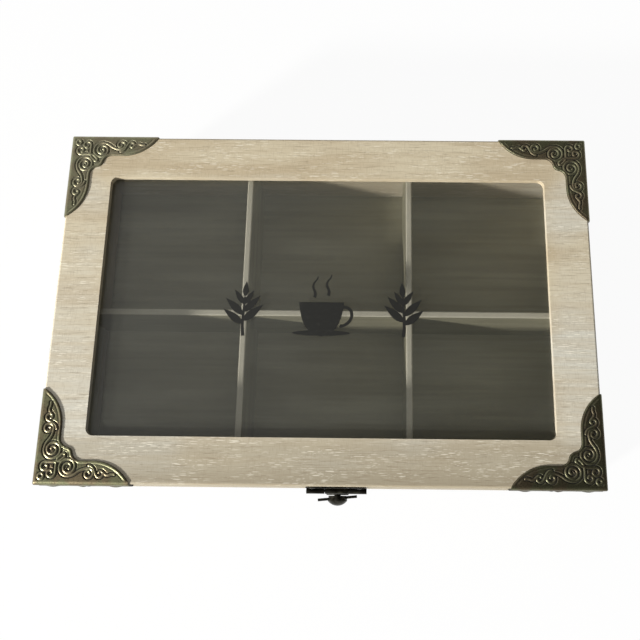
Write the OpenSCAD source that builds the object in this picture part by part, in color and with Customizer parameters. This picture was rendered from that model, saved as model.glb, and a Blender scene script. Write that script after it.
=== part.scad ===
// A flat wooden chest for tea bags: six compartments under a glazed, hinged lid.
// Millimetres. The origin is the centre of the underside, +Z is up, and the latch faces -Y.

/* [Box] */
// Outside width of the box, left to right
box_w = 240; // [210:1:280]
// Outside depth of the box, front to back
box_d = 159; // [130:1:200]
// Height of the lower box, up to the lid's edge
body_h = 42; // [39:1:60]
// Thickness of the walls and of the lid's rails
wall_t = 5; // [4:0.5:7]
// Thickness of the bottom panel
bottom_t = 3; // [2:0.5:5]
// Width of the lip of the walls that hides the bottom panel's edge
bottom_lip = 2.5; // [1.5:0.5:3]
// Rounding of the outer edges of the wood
edge_r = 1; // [0.5:0.1:1.5]

/* [Lid] */
// Height of the closed lid above the lower box
lid_h = 18; // [16:1:24]
// Thickness of the lid's top board
board_t = 3; // [2.5:0.5:4]

/* [Window] */
// Width of the lid's frame beside the window, left and right
frame_side = 19.5; // [18:0.5:26]
// Width of the lid's frame in front of and behind the window
frame_end = 20; // [18:0.5:26]
// Radius of the window's corners
window_r = 3.3; // [2:0.1:6]
// Thickness of the glass pane
glass_t = 2; // [1.5:0.5:3]
// How far the glass reaches under the board, past the window's edge
glass_lap = 6; // [4.5:0.5:8]
// Height of a glazing bead, from the board down
bead_h = 4.5; // [4:0.5:6]
// How far a bead laps under the glass
bead_lap = 3; // [2:0.5:4]
// Rounding of a bead's lower inner edge
bead_r = 1; // [0.5:0.1:1.5]

/* [Dividers] */
// Thickness of the dividers
divider_t = 3; // [2:0.5:4]
// How far the dividers' top edges lie below the box's rim
divider_drop = 2; // [1:0.5:4]
// Depth of the wall grooves that hold the dividers' ends
groove_depth = 1.5; // [1:0.5:2]
// Rounding of the dividers' top edges
divider_r = 0.7; // [0.4:0.1:0.9]

/* [Corner protectors] */
// Thickness of the pressed sheet
sheet_t = 0.7; // [0.5:0.1:1]
// Length of a protector's legs, along both edges of the lid
corner_leg = 40; // [34:1:46]
// Width of a leg at its shoulder, near the corner
corner_leg_w = 9.5; // [8.5:0.1:11]
// Distance from the corner to a leg's shoulder, where it starts to narrow
corner_shoulder = 24; // [22:0.5:28]
// Width left at a leg's tip
corner_tip_w = 0.4; // [0.3:0.1:1.5]
// Distance of the inner lobe's middle from both edges
corner_lobe_at = 12.2; // [11.5:0.1:13]
// Radius of the inner lobe
corner_lobe_r = 3; // [2.5:0.1:3.5]
// Radius of the hollows between the lobe and the legs
corner_fillet_r = 4; // [3:0.1:5]
// Height of the pressed lines above the sheet
relief_h = 0.25; // [0.15:0.05:0.4]
// Width of a scroll's line
scroll_w = 0.7; // [0.5:0.05:0.8]
// Radius of the eye in which a scroll ends
scroll_eye_r = 0.55; // [0.4:0.05:0.65]
// Distance of the raised border from a protector's inner outline
border_in = 0.35; // [0.2:0.05:0.5]
// Width of the raised border
border_w = 0.65; // [0.4:0.05:0.8]
// Height of the flanges that wrap down the lid's sides
flange_h = 9; // [8:0.5:12]
// Depth of the scallops in a flange's lower edge
scallop_depth = 2; // [1:0.5:3]
// Depth of the blunt notches between the scallops
notch_depth = 1.7; // [0.8:0.1:2]
// Distance of a flange's nail from the corner
corner_nail_at = 22; // [18:0.5:26]

/* [Hinges] */
// Distance of each hinge's middle from the box's side
hinge_in = 54; // [54:1:70]
// Width of a hinge along its barrel
hinge_w = 26; // [20:1:34]
// Height of a hinge leaf, from the barrel's axis
leaf_h = 11; // [9:0.5:13]
// Thickness of a hinge leaf
leaf_t = 0.8; // [0.6:0.1:1]
// Radius of a hinge leaf's corners
leaf_r = 2; // [1:0.5:3]
// Distance of a leaf's nails from its ends
hinge_nail_in = 4.9; // [4:0.1:6]
// Distance of a leaf's nails from the barrel's axis
hinge_nail_up = 6.6; // [6:0.1:7.2]
// Radius of the hinge barrel
barrel_r = 1.6; // [1.4:0.1:2]
// Radius of the hinge pin
hinge_pin_r = 0.8; // [0.6:0.1:1]
// How far the peened ends of a hinge pin stand out past the pin
peen_out = 0.3; // [0.2:0.05:0.5]
// Height of the peened ends of a hinge pin
peen_h = 0.4; // [0.3:0.05:0.6]

/* [Latch] */
// Distance of the latch to the right of the middle of the front
latch_x = 6.5; // [-20:0.5:20]
// Width of the latch's top plate and barrel
latch_w = 26.4; // [24:0.2:32]
// Height of the latch's top plate above the barrel's axis
latch_plate_h = 12; // [11:0.5:13]
// Radius of the three lobes along the top plate's upper edge
latch_lobe_r = 5.3; // [4.8:0.1:5.8]
// How far the outer lobes lie below the middle one
latch_lobe_drop = 0.6; // [0.3:0.1:1]
// Distance of the top plate's nails from its ends
top_nail_in = 3; // [2.6:0.1:4]
// Height of the top plate's nails above the barrel's axis
top_nail_up = 6.6; // [6:0.1:7.5]
// Width of the flap's knuckle, between the top plate's two
latch_knuckle_w = 10; // [8:0.5:12]
// Thickness of the latch's two fixed plates
latch_t = 0.6; // [0.4:0.1:0.8]
// Radius of the latch's barrel
latch_barrel_r = 1.25; // [1.1:0.05:1.5]
// Radius of the latch's hinge pin
latch_pin_r = 0.6; // [0.5:0.05:0.7]
// Height of the latch's axis above the lid's lower edge
latch_axis_up = 2.2; // [2:0.1:3]
// Width of the base plate under the flap
base_w = 24; // [23:0.5:28]
// Height of the base plate
base_h = 15; // [14:0.5:17]
// Radius of the base plate's corners
base_r = 4; // [2:0.5:5]
// Distance of the base plate's nails from its ends
base_nail_in = 1.9; // [1.8:0.1:2.4]
// Distance from the latch's axis down to the middle of the boss
boss_drop = 12; // [11.5:0.1:12.5]
// Radius of the boss at the base plate
boss_r1 = 6.4; // [5.8:0.1:6.6]
// Radius of the boss at its outer end
boss_r2 = 4.9; // [4:0.1:5]
// Height of the boss over the base plate
boss_h = 2.7; // [2.4:0.1:2.8]
// Thickness of the hasp's flap
flap_t = 0.8; // [0.6:0.1:1]
// Radius of the flap's round middle
flap_r = 11.3; // [10.8:0.1:11.6]
// Length of the flap's thumb lip below its round middle
lip_l = 4; // [3:0.5:6]
// Radius of the thumb lip's end
lip_r = 3; // [2.5:0.1:4]
// Radius of the bar that stiffens the thumb lip
lip_bar_r = 0.9; // [0.6:0.1:1.2]

/* [Turn button] */
// Length of the wings, tip to tip
wing_l = 17.8; // [16:0.2:18]
// Height of the wings across their length
wing_h = 3; // [2.5:0.1:3.2]
// Thickness of the wings
wing_t = 1.2; // [1:0.1:1.4]
// Tilt of the wings off the flap's plane, in degrees
wing_tilt = 5.5; // [0:0.5:6]
// Distance of the wings' middle from the front wall
wing_out = 4.7; // [4.6:0.1:5.3]
// Radius of the domed head
head_r = 4.4; // [4.2:0.1:5]
// Distance of the head's crown from the front wall
head_out = 8; // [7.8:0.1:9.5]
// Height of the head's dome
head_dome_h = 2.2; // [1.8:0.1:2.6]
// Height of the head's rim, behind the dome
head_rim_h = 1; // [0.6:0.1:1.2]
// Radius of the collar between the boss and the head
collar_r = 4.1; // [3:0.1:4.3]
// Radius of the riveted stem
stem_r = 1.5; // [1.2:0.1:1.8]
// How far the stem's riveted end stands out past the stem
rivet_out = 0.8; // [0.5:0.1:1]
// Height of the stem's riveted end
rivet_h = 0.8; // [0.5:0.1:1.2]

/* [Nails] */
// Radius of a nail's head
nail_head_r = 1.3; // [1.1:0.1:1.6]
// Height of a nail's domed head
nail_head_h = 0.35; // [0.25:0.05:0.5]
// Radius of a nail's shank
nail_r = 0.5; // [0.4:0.05:0.6]
// Length of a nail's shank in the wood
nail_l = 3.5; // [2.5:0.5:3.7]

/* [Fits] */
// Gap round the bottom panel and the dividers' ends
wood_gap = 0.1; // [0.05:0.05:0.3]
// Gap round the glass pane
glass_gap = 0.3; // [0.2:0.1:0.5]
// Radial gap of a pin in its barrel, and of the stem in the boss
pin_gap = 0.05; // [0.03:0.01:0.1]
// Gap between two knuckles, and between a barrel and the wood
barrel_gap = 0.3; // [0.25:0.05:0.5]
// Gap between the flap and the nail heads behind it
flap_gap = 0.3; // [0.25:0.05:0.5]
// Gap between the flap's hole and what passes through it, all round
hole_gap = 0.7; // [0.6:0.05:0.9]
// Gap in front of the boss, and round the stem's riveted end behind it
button_gap = 0.3; // [0.25:0.05:0.5]

/* [Hidden] */
$fn = 64;

oak = [0.76, 0.70, 0.57];
oak_inside = [0.62, 0.55, 0.42];
bronze = [0.42, 0.38, 0.28];
dark_bronze = [0.30, 0.25, 0.20];
pane = [0.70, 0.74, 0.70, 0.35];

// Sides of the box, as quarter turns from the front
FRONT = 0;
RIGHT = 1;
BACK = 2;
LEFT = 3;

top_z = body_h + lid_h;
board_z = top_z - board_t;
window_w = box_w - 2 * frame_side;
window_d = box_d - 2 * frame_end;
inner_w = box_w - 2 * wall_t;
inner_d = box_d - 2 * wall_t;
glass_w = window_w + 2 * glass_lap;
glass_d = window_d + 2 * glass_lap;

// Two cross dividers make three equal columns
cross_x = (inner_w - 2 * divider_t) / 6 + divider_t / 2;
divider_top = body_h - divider_drop;
divider_h = divider_top - bottom_t;

hinge_x = box_w / 2 - hinge_in;
hinge_y = box_d / 2 + barrel_gap + barrel_r;
knuckle_w = (hinge_w - 2 * barrel_gap) / 3;

latch_axis_z = body_h + latch_axis_up;
latch_out = latch_t + nail_head_h + flap_gap + flap_t / 2;
boss_z = latch_axis_z - boss_drop;
latch_clear = latch_barrel_r + barrel_gap;
hole_r = boss_r1 + hole_gap / 2;
slot_l = wing_l + 2 * hole_gap;
slot_up = wing_h / 2 + hole_gap;
// The slot is deeper below, where the opening flap swings past the wings
slot_down = wing_h / 2 + 2.5 * hole_gap;
// The most that one straight piece of a scroll turns, in degrees
chain_step = 22.5;
// How far a cut reaches past what it cuts
over = 1;

// Distance from the middle of the box to the outside of a side
function side_out(side) = (side % 2 == 0 ? box_d : box_w) / 2;
// Length of a side
function side_l(side) = side % 2 == 0 ? box_w : box_d;

// Puts something on a side's outer face, at a distance along it and a height.
// Its own x runs along the side, its y runs up, and its z points outwards.
module on_side(side, along, z, out = 0) {
    rotate(90 * side)
        translate([along, -side_out(side) - out, z])
            rotate([90, 0, 0])
                children();
}

// Repeats a front left corner at any corner: sx and sy are -1 or 1
module at_corner(sx, sy) {
    mirror([sx > 0 ? 1 : 0, 0, 0])
        mirror([0, sy > 0 ? 1 : 0, 0])
            translate([-box_w / 2, -box_d / 2, 0])
                children();
}

// A rectangle about the origin with rounded corners
module rounded_rect(w, d, r) {
    square([w - 2 * r, d], center = true);
    square([w, d - 2 * r], center = true);
    for (sx = [-1, 1], sy = [-1, 1])
        translate([sx * (w / 2 - r), sy * (d / 2 - r)])
            circle(r);
}

// A rectangle from y = 0 up to h, with only its top corners rounded
module round_topped(w, h, r) {
    translate([-w / 2, 0])
        square([w, h - r]);
    translate([-w / 2 + r, 0])
        square([w - 2 * r, h]);
    for (sx = [-1, 1])
        translate([sx * (w / 2 - r), h - r])
            circle(r);
}

// A block about the z axis, from z = 0 up to h, with rounded top edges
module eased_block(w, d, h, r) {
    intersection() {
        translate([0, d / 2, 0])
            rotate([90, 0, 0])
                linear_extrude(d)
                    round_topped(w, h, r);
        translate([-w / 2, 0, 0])
            rotate([90, 0, 90])
                linear_extrude(w)
                    round_topped(d, h, r);
    }
}

// A strip along one side, with mitred ends. The child is its section: x runs from the outer
// face inwards, and y runs up.
module mitred_strip(side, inset, thick, z, h) {
    l = side_l(side) - 2 * inset;
    rotate(90 * side)
        translate([0, -side_out(side) + inset, z])
            intersection() {
                translate([-l / 2, 0, 0])
                    rotate([90, 0, 90])
                        linear_extrude(l)
                            children();
                linear_extrude(h)
                    polygon([[-l / 2, 0], [l / 2, 0], [l / 2 - thick, thick], [thick - l / 2, thick]]);
            }
}

// Section of a wall: eased outer edges, and a rebate for the bottom panel
module wall_section() {
    difference() {
        union() {
            translate([edge_r, 0])
                square([wall_t - edge_r, body_h]);
            translate([0, edge_r])
                square([wall_t, body_h - 2 * edge_r]);
            for (z = [edge_r, body_h - edge_r])
                translate([edge_r, z])
                    circle(edge_r);
        }
        translate([bottom_lip, -over])
            square([wall_t, bottom_t + over]);
    }
}

// Section of a lid rail, with its lower outer edge eased
module rail_section() {
    h = lid_h - board_t;
    translate([edge_r, 0])
        square([wall_t - edge_r, h]);
    translate([0, edge_r])
        square([wall_t, h - edge_r]);
    translate([edge_r, edge_r])
        circle(edge_r);
}

// Section of a glazing bead: a rebate holds the glass, and the lower inner edge is rounded
module bead_section(reach) {
    lap_from = reach - bead_lap;
    difference() {
        union() {
            translate([0, bead_r])
                square([reach, bead_h - bead_r]);
            square([reach - bead_r, bead_h]);
            translate([reach - bead_r, bead_r])
                circle(bead_r);
        }
        translate([lap_from - glass_gap, bead_h - glass_t])
            square([reach, glass_t + over]);
    }
}

// The hole that a nail's shank goes through, along its own z axis, into the wood
module nail_hole() {
    translate([0, 0, -nail_l - nail_r / 4])
        cylinder(r = nail_r + pin_gap, h = nail_l + 2 * over);
}

// A nail with a domed head, driven down from z = 0
module nail(plate_t) {
    dome_r = (nail_head_r * nail_head_r + nail_head_h * nail_head_h) / (2 * nail_head_h);
    tip_l = 2 * nail_r;
    translate([0, 0, plate_t])
        intersection() {
            translate([0, 0, nail_head_h - dome_r])
                sphere(dome_r, $fn = 96);
            cylinder(r = nail_head_r + over, h = nail_head_h + over);
        }
    translate([0, 0, tip_l - nail_l])
        cylinder(r = nail_r, h = nail_l - tip_l + plate_t + nail_head_h / 4);
    translate([0, 0, -nail_l])
        cylinder(r1 = nail_r / 5, r2 = nail_r, h = tip_l);
}

// Puts something at each corner nail's place on one corner's two flanges
module at_corner_nails() {
    z = top_z - flange_h / 2;
    translate([corner_nail_at, 0, z])
        rotate([90, 0, 0])
            children();
    translate([0, corner_nail_at, z])
        rotate([90, 0, -90])
            children();
}

// Puts something at the nails of the hinge leaves: up is 1 on the lid, -1 on the box
module at_hinge_nails(up) {
    for (x = [-hinge_x, hinge_x], dx = [-1, 1])
        on_side(BACK, x + dx * (hinge_w / 2 - hinge_nail_in), body_h + up * hinge_nail_up)
            children();
}

module at_latch_base_nails() {
    for (dx = [-1, 1])
        on_side(FRONT, latch_x + dx * (base_w / 2 - base_nail_in), boss_z)
            children();
}

module at_latch_top_nails() {
    for (dx = [-1, 1])
        on_side(FRONT, latch_x + dx * (latch_w / 2 - top_nail_in), latch_axis_z + top_nail_up)
            children();
}

module bottom_panel() {
    w = box_w - 2 * (bottom_lip + wood_gap);
    d = box_d - 2 * (bottom_lip + wood_gap);
    color(oak_inside)
        translate([-w / 2, -d / 2, 0])
            cube([w, d, bottom_t]);
}

// The grooves in which the ends of the dividers stand
module divider_grooves() {
    groove_w = divider_t + 2 * wood_gap;
    for (x = [-cross_x, cross_x])
        translate([x - groove_w / 2, -inner_d / 2 - groove_depth, bottom_t])
            cube([groove_w, inner_d + 2 * groove_depth, body_h]);
    translate([-inner_w / 2 - groove_depth, -groove_w / 2, bottom_t])
        cube([inner_w + 2 * groove_depth, groove_w, body_h]);
}

module wall(side) {
    color(oak)
        difference() {
            mitred_strip(side, 0, wall_t, 0, body_h)
                wall_section();
            divider_grooves();
            if (side == FRONT) {
                at_latch_base_nails()
                    nail_hole();
            }
            if (side == BACK) {
                at_hinge_nails(-1)
                    nail_hole();
            }
        }
}

module front_wall() {
    wall(FRONT);
}

module back_wall() {
    wall(BACK);
}

module left_wall() {
    wall(LEFT);
}

module right_wall() {
    wall(RIGHT);
}

// A divider along x, with half slots at the given places, open at the top or at the bottom
module divider(l, slots, slots_up) {
    slot_w = divider_t + 2 * wood_gap;
    slot_h = divider_h / 2 + wood_gap;
    full_l = l + 2 * (groove_depth - wood_gap);
    difference() {
        translate([-full_l / 2, 0, bottom_t])
            rotate([90, 0, 90])
                linear_extrude(full_l)
                    round_topped(divider_t, divider_h, divider_r);
        for (x = slots)
            translate([x - slot_w / 2, -divider_t, slots_up ? divider_top - slot_h : bottom_t - over])
                cube([slot_w, 2 * divider_t, slot_h + over]);
    }
}

module long_divider() {
    color(oak_inside)
        divider(inner_w, [-cross_x, cross_x], true);
}

module cross_divider(x) {
    color(oak_inside)
        translate([x, 0, 0])
            rotate(90)
                divider(inner_d, [0], false);
}

module cross_divider_left() {
    cross_divider(-cross_x);
}

module cross_divider_right() {
    cross_divider(cross_x);
}

module lid_top_board() {
    color(oak)
        difference() {
            translate([0, 0, board_z])
                eased_block(box_w, box_d, board_t, edge_r);
            translate([0, 0, board_z - over])
                linear_extrude(board_t + 2 * over)
                    rounded_rect(window_w, window_d, window_r);
        }
}

module lid_rail(side) {
    color(oak)
        difference() {
            mitred_strip(side, 0, wall_t, body_h, lid_h - board_t)
                rail_section();
            for (sx = [-1, 1], sy = [-1, 1])
                at_corner(sx, sy)
                    at_corner_nails()
                        nail_hole();
            if (side == FRONT) {
                at_latch_top_nails()
                    nail_hole();
            }
            if (side == BACK) {
                at_hinge_nails(1)
                    nail_hole();
            }
        }
}

module lid_front_rail() {
    lid_rail(FRONT);
}

module lid_back_rail() {
    lid_rail(BACK);
}

module lid_left_rail() {
    lid_rail(LEFT);
}

module lid_right_rail() {
    lid_rail(RIGHT);
}

module glass_pane() {
    color(pane)
        translate([-glass_w / 2, -glass_d / 2, board_z - glass_t])
            cube([glass_w, glass_d, glass_t]);
}

// A bead fills the space from the rail to the glass, and laps under it
module glazing_bead(side) {
    frame_w = side % 2 == 0 ? frame_end : frame_side;
    reach = frame_w - wall_t - glass_lap + bead_lap;
    color(oak_inside)
        mitred_strip(side, wall_t, reach, board_z - bead_h, bead_h)
            bead_section(reach);
}

module glazing_bead_front() {
    glazing_bead(FRONT);
}

module glazing_bead_back() {
    glazing_bead(BACK);
}

module glazing_bead_left() {
    glazing_bead(LEFT);
}

module glazing_bead_right() {
    glazing_bead(RIGHT);
}

// The same shape on both legs of a protector, which mirror each other about its diagonal
module on_both_legs() {
    for (flip = [0, 1])
        mirror([flip, -flip])
            children();
}

// Outline of a protector's top plate, with the corner at the origin. The inset draws its
// inner side in: two legs that narrow to their tips, a lobe between them and two hollows.
module corner_outline(inset = 0) {
    run = corner_leg - corner_shoulder;
    drop = corner_leg_w - corner_tip_w;
    // The arc that is level at the shoulder and comes down to the tip's width
    sweep_r = (run * run + drop * drop) / (2 * drop);
    leg_w = corner_leg_w - inset;
    lobe = [corner_lobe_at, corner_lobe_at];
    // A hollow touches the leg's edge from outside, and the lobe
    reach = corner_lobe_r + corner_fillet_r;
    rise = corner_leg_w + corner_fillet_r - corner_lobe_at;
    hollow = lobe + [sqrt(reach * reach - rise * rise), rise];
    touch = lobe + (hollow - lobe) * (corner_lobe_r - inset) / reach;
    on_both_legs() {
        translate([-sheet_t, -sheet_t])
            square([corner_shoulder + sheet_t, leg_w + sheet_t]);
        intersection() {
            translate([corner_shoulder, corner_leg_w - sweep_r])
                circle(sweep_r - inset, $fn = 160);
            translate([corner_shoulder - over, -sheet_t])
                square([run + over, corner_leg_w + sheet_t]);
        }
        difference() {
            polygon([[0, 0], [hollow[0], 0], [hollow[0], leg_w], touch, lobe]);
            translate(hollow)
                circle(corner_fillet_r + inset);
        }
    }
    translate(lobe)
        circle(corner_lobe_r - inset);
}

// A line along a chain of arcs. Each arc is [radius, angle], and a plus angle turns left.
function arc_side(arc) = arc[1] > 0 ? 1 : -1;
function left_of(heading) = [-sin(heading), cos(heading)];
function arc_point(start, heading, arc, part) =
    start + arc_side(arc) * arc[0] * (left_of(heading) - left_of(heading + part * arc[1]));
function chain(start, heading, arcs, i = 0) = i == len(arcs) ? [[start, heading]] :
    let (arc = arcs[i], n = ceil(abs(arc[1]) / chain_step))
    concat(
        [for (k = [0:n - 1]) [arc_point(start, heading, arc, k / n), heading + arc[1] * k / n]],
        chain(arc_point(start, heading, arc, 1), heading + arc[1], arcs, i + 1)
    );

// A scroll: a line of even width along a chain of arcs, which ends in a round eye
module scroll(start, heading, arcs) {
    line = chain(start, heading, arcs);
    last = len(line) - 1;
    polygon(concat(
        [for (p = line) p[0] + left_of(p[1]) * scroll_w / 2],
        [for (i = [last:-1:0]) line[i][0] - left_of(line[i][1]) * scroll_w / 2]
    ));
    translate(line[last][0])
        circle(scroll_eye_r);
}

// The scrolls of one leg: x runs along the leg from the corner, and y inwards
module leg_scrolls() {
    // The large spiral near the corner, and the stem that grows from it into a smaller one
    scroll([14, 3.1], 180, [
        [3.6, -90], [3.4, -90], [3.1, -90], [2.6, -90], [2.2, -90], [1.8, -90], [1.35, -90], [0.9, -80]
    ]);
    scroll([14, 3.1], 0, [
        [6, 40], [7.8, -40], [2.05, -90], [1.85, -90], [1.6, -90], [1.2, -90], [0.75, -90]
    ]);
    // The hook on the stem, and the wave towards the tip
    scroll([22.8, 7.5], -8, [[3, -58], [30, 5], [1.5, 152], [1.1, 90], [0.7, 80]]);
    scroll([29.4, 4.5], -58, [[2, 50], [1.9, 35], [2.6, -45]]);
    // The curl beside the diagonal, and one half of the bud on it
    scroll([8.9, 8.7], -93, [[40, 6], [1.8, -93], [1.6, -90], [1.25, -90], [0.8, -90]]);
    scroll([9.2, 9.2], 0, [[2.6, 45], [60, 1.5], [0.76, 90]]);
}

// The lines pressed into a protector's top: scrolls, a ring and a border
module corner_relief() {
    ring_at = 3;
    ring_r = 1.1;
    on_both_legs()
        leg_scrolls();
    translate([ring_at, ring_at])
        difference() {
            circle(ring_r + scroll_w / 2);
            circle(ring_r - scroll_w / 2);
        }
    intersection() {
        difference() {
            corner_outline(border_in);
            corner_outline(border_in + border_w);
        }
        translate([edge_r, edge_r])
            square(corner_leg);
    }
}

// Outline of a flange: x from the corner, y up, with three scallops along its lower edge.
// The band above them comes down a little past the notches, so that these end blunt.
module flange_outline() {
    pitch = corner_leg / 3;
    scallop_r = (pitch * pitch / 4 + scallop_depth * scallop_depth) / (2 * scallop_depth);
    band_z = top_z - flange_h + min(notch_depth, scallop_depth);
    translate([-sheet_t, band_z])
        square([corner_leg + sheet_t, flange_h]);
    intersection() {
        union()
            for (i = [0:2])
                translate([(i + 0.5) * pitch, top_z - flange_h + scallop_r])
                    circle(scallop_r);
        translate([-sheet_t, top_z - flange_h - over])
            square([corner_leg + sheet_t, scallop_depth + over]);
    }
}

// A pressed corner protector: the skin over the lid's corner, cut to its outlines
module corner_protector() {
    base_z = top_z - flange_h - over;
    h = flange_h + over;
    difference() {
        intersection() {
            translate([box_w / 2, box_d / 2, base_z])
                eased_block(box_w + 2 * sheet_t, box_d + 2 * sheet_t, h + sheet_t, edge_r + sheet_t);
            union() {
                translate([0, 0, top_z - edge_r])
                    linear_extrude(edge_r + sheet_t + over)
                        corner_outline();
                rotate([90, 0, 0])
                    linear_extrude(sheet_t + over)
                        flange_outline();
                translate([-sheet_t - over, 0, 0])
                    rotate([90, 0, 90])
                        linear_extrude(sheet_t + over)
                            flange_outline();
            }
        }
        translate([box_w / 2, box_d / 2, base_z - over])
            eased_block(box_w, box_d, h + over, edge_r);
        at_corner_nails()
            nail_hole();
    }
    translate([0, 0, top_z + sheet_t / 2])
        linear_extrude(sheet_t / 2 + relief_h)
            corner_relief();
}

module corner_front_left() {
    color(bronze)
        at_corner(-1, -1)
            corner_protector();
}

module corner_front_right() {
    color(bronze)
        at_corner(1, -1)
            corner_protector();
}

module corner_back_left() {
    color(bronze)
        at_corner(-1, 1)
            corner_protector();
}

module corner_back_right() {
    color(bronze)
        at_corner(1, 1)
            corner_protector();
}

module corner_nails() {
    color(dark_bronze)
        for (sx = [-1, 1], sy = [-1, 1])
            at_corner(sx, sy)
                at_corner_nails()
                    nail(sheet_t);
}

// A hinge leaf about its pin, which lies along x. The plate hangs down from the axis on the
// side of the wood at y = -wood_y. Its knuckles are the outer two, or the middle one.
module leaf(outer) {
    wood_y = barrel_gap + barrel_r;
    pitch = knuckle_w + barrel_gap;
    mine = outer ? [-pitch, pitch] : [0];
    others = outer ? [0] : [-pitch, pitch];
    clear = barrel_r + barrel_gap;
    difference() {
        union() {
            translate([0, leaf_t - wood_y, -leaf_h / 2])
                rotate([90, 0, 0])
                    linear_extrude(leaf_t)
                        rounded_rect(hinge_w, leaf_h, leaf_r);
            for (x = mine) {
                translate([x - knuckle_w / 2, -wood_y, -barrel_r])
                    cube([knuckle_w, leaf_t, barrel_r]);
                translate([x - knuckle_w / 2, 0, 0])
                    rotate([0, 90, 0])
                        cylinder(r = barrel_r, h = knuckle_w);
            }
        }
        for (x = others)
            translate([x - knuckle_w / 2 - barrel_gap, -clear - over, -clear])
                cube([knuckle_w + 2 * barrel_gap, 2 * clear + over, 2 * clear]);
        translate([-hinge_w, 0, 0])
            rotate([0, 90, 0])
                cylinder(r = hinge_pin_r + pin_gap, h = 2 * hinge_w);
    }
}

module lower_leaf(x) {
    color(dark_bronze)
        difference() {
            translate([x, hinge_y, body_h])
                leaf(true);
            at_hinge_nails(-1)
                nail_hole();
        }
}

module upper_leaf(x) {
    color(dark_bronze)
        difference() {
            translate([x, hinge_y, body_h])
                mirror([0, 0, 1])
                    leaf(false);
            at_hinge_nails(1)
                nail_hole();
        }
}

// The pin has a slightly wider, peened end on both sides of the barrel
module hinge_pin(x) {
    color(dark_bronze)
        translate([x - hinge_w / 2 - peen_h, hinge_y, body_h])
            rotate([0, 90, 0]) {
                cylinder(r = hinge_pin_r, h = hinge_w + 2 * peen_h);
                for (z = [0, hinge_w + peen_h])
                    translate([0, 0, z])
                        cylinder(r = hinge_pin_r + peen_out, h = peen_h);
            }
}

module hinge_left_lower_leaf() {
    lower_leaf(-hinge_x);
}

module hinge_right_lower_leaf() {
    lower_leaf(hinge_x);
}

module hinge_left_upper_leaf() {
    upper_leaf(-hinge_x);
}

module hinge_right_upper_leaf() {
    upper_leaf(hinge_x);
}

module hinge_left_pin() {
    hinge_pin(-hinge_x);
}

module hinge_right_pin() {
    hinge_pin(hinge_x);
}

module hinge_nails_box() {
    color(dark_bronze)
        at_hinge_nails(-1)
            nail(leaf_t);
}

module hinge_nails_lid() {
    color(dark_bronze)
        at_hinge_nails(1)
            nail(leaf_t);
}

// Along the latch's barrel, about its axis
module latch_bar(r, from, to) {
    translate([from, 0, 0])
        rotate([0, 90, 0])
            cylinder(r = r, h = to - from);
}

// Puts something about the latch's axis: x to the right, y up, z outwards
module on_latch_axis() {
    on_side(FRONT, latch_x, latch_axis_z, latch_out)
        children();
}

// The fixed plate on the lid, with the two outer knuckles at its lower edge
module latch_top_plate() {
    inner = latch_knuckle_w / 2 + barrel_gap;
    outer_lobe = latch_w / 2 - latch_lobe_r;
    lobe_y = latch_plate_h - latch_lobe_r;
    color(dark_bronze)
        difference() {
            union() {
                on_side(FRONT, latch_x, latch_axis_z)
                    linear_extrude(latch_t) {
                        translate([-latch_w / 2, 0])
                            square([latch_w, lobe_y - latch_lobe_drop]);
                        for (x = [-outer_lobe, outer_lobe])
                            translate([x, lobe_y - latch_lobe_drop])
                                circle(latch_lobe_r);
                        translate([-outer_lobe, 0])
                            square([2 * outer_lobe, lobe_y]);
                        translate([0, lobe_y])
                            circle(latch_lobe_r);
                    }
                for (s = [0, 1])
                    mirror([s, 0, 0])
                        translate([s * -2 * latch_x, 0, 0])
                            on_latch_axis()
                                latch_bar(latch_barrel_r, inner, latch_w / 2);
            }
            translate([latch_x - inner, -box_d / 2 - over - latch_t, latch_axis_z - over])
                cube([2 * inner, 2 * over + latch_t, latch_clear + over]);
            on_latch_axis()
                latch_bar(latch_pin_r + pin_gap, -latch_w, latch_w);
            at_latch_top_nails()
                nail_hole();
        }
}

module latch_pin() {
    color(dark_bronze)
        on_latch_axis()
            latch_bar(latch_pin_r, -latch_w / 2, latch_w / 2);
}

module latch_top_nails() {
    color(dark_bronze)
        at_latch_top_nails()
            nail(latch_t);
}

// The flap hangs from the latch's axis. Its hole passes the boss and the level wings.
module hasp_flap() {
    lip_y = -boss_drop - flap_r;
    color(dark_bronze)
        on_latch_axis()
            difference() {
                union() {
                    latch_bar(latch_barrel_r, -latch_knuckle_w / 2, latch_knuckle_w / 2);
                    translate([0, 0, -flap_t / 2])
                        linear_extrude(flap_t)
                            difference() {
                                union() {
                                    translate([-latch_knuckle_w / 2, -boss_drop])
                                        square([latch_knuckle_w, boss_drop]);
                                    translate([0, -boss_drop])
                                        circle(flap_r);
                                    translate([-lip_r, lip_y - lip_l + lip_r])
                                        square([2 * lip_r, lip_l]);
                                    translate([0, lip_y - lip_l + lip_r])
                                        circle(lip_r);
                                }
                                translate([0, -boss_drop])
                                    circle(hole_r);
                                translate([-slot_l / 2, -boss_drop - slot_down])
                                    square([slot_l, slot_up + slot_down]);
                            }
                    // The thumb lip is a half round bar along the tail's lower end
                    translate([-lip_r / 2, lip_y - lip_l + lip_r, flap_t / 2])
                        rotate([0, 90, 0])
                            cylinder(r = lip_bar_r, h = lip_r);
                }
                for (s = [-1, 1])
                    translate([s * latch_w / 2, 0, 0])
                        cube([latch_w - latch_knuckle_w, 2 * latch_clear, 2 * flap_t], center = true);
                latch_bar(latch_pin_r + pin_gap, -latch_w, latch_w);
            }
}

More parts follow.
